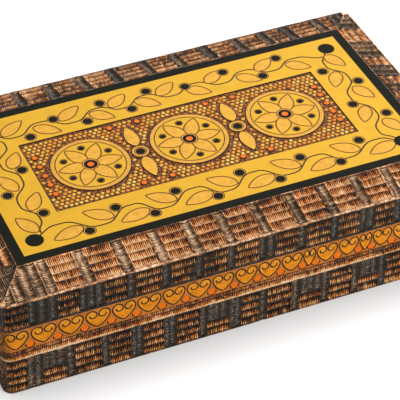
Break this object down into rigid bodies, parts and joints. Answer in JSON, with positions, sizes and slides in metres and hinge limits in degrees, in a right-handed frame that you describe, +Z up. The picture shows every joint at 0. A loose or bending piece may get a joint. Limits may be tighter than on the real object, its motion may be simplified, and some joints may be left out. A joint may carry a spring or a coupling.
{
  "type": "wooden keepsake box",
  "caption": "Low rectangular wooden box with mitred carved walls and a hinged lid whose edges slope down from a painted flat top.",
  "frame": {"origin": "middle of the underside, on the surface that the box stands on", "axes": "+X along the box's length, -Y towards its front, +Z up"},
  "size_m": [0.25, 0.152, 0.0595],
  "materials": {
    "carved_wood": "scorched, pressed and lacquered",
    "painted_top": "stained and lacquered",
    "bottom_wood": "plain, satin",
    "brass": "satin"
  },
  "bodies": {
    "base": {"front_wall": "carved_wood", "back_wall": "carved_wood", "left_wall": "carved_wood", "right_wall": "carved_wood", "bottom_board": "bottom_wood", "left_hinge_base_leaf": "brass", "left_hinge_pin": "brass", "left_hinge_base_screw_1": "brass", "left_hinge_base_screw_2": "brass", "right_hinge_base_leaf": "brass", "right_hinge_pin": "brass", "right_hinge_base_screw_1": "brass", "right_hinge_base_screw_2": "brass"},
    "lid": {"lid_top_board": "painted_top", "lid_front_rail": "carved_wood", "lid_back_rail": "carved_wood", "lid_left_rail": "carved_wood", "lid_right_rail": "carved_wood", "left_hinge_lid_leaf": "brass", "left_hinge_lid_screw_1": "brass", "left_hinge_lid_screw_2": "brass", "right_hinge_lid_leaf": "brass", "right_hinge_lid_screw_1": "brass", "right_hinge_lid_screw_2": "brass"}
  },
  "joints": [
    {"name": "lid_hinge", "type": "hinge", "parent": "base", "child": "lid", "pos_m": [0, 0.0742, 0.0385], "axis": [-1, 0, 0], "range_deg": [0, 100]}
  ]
}
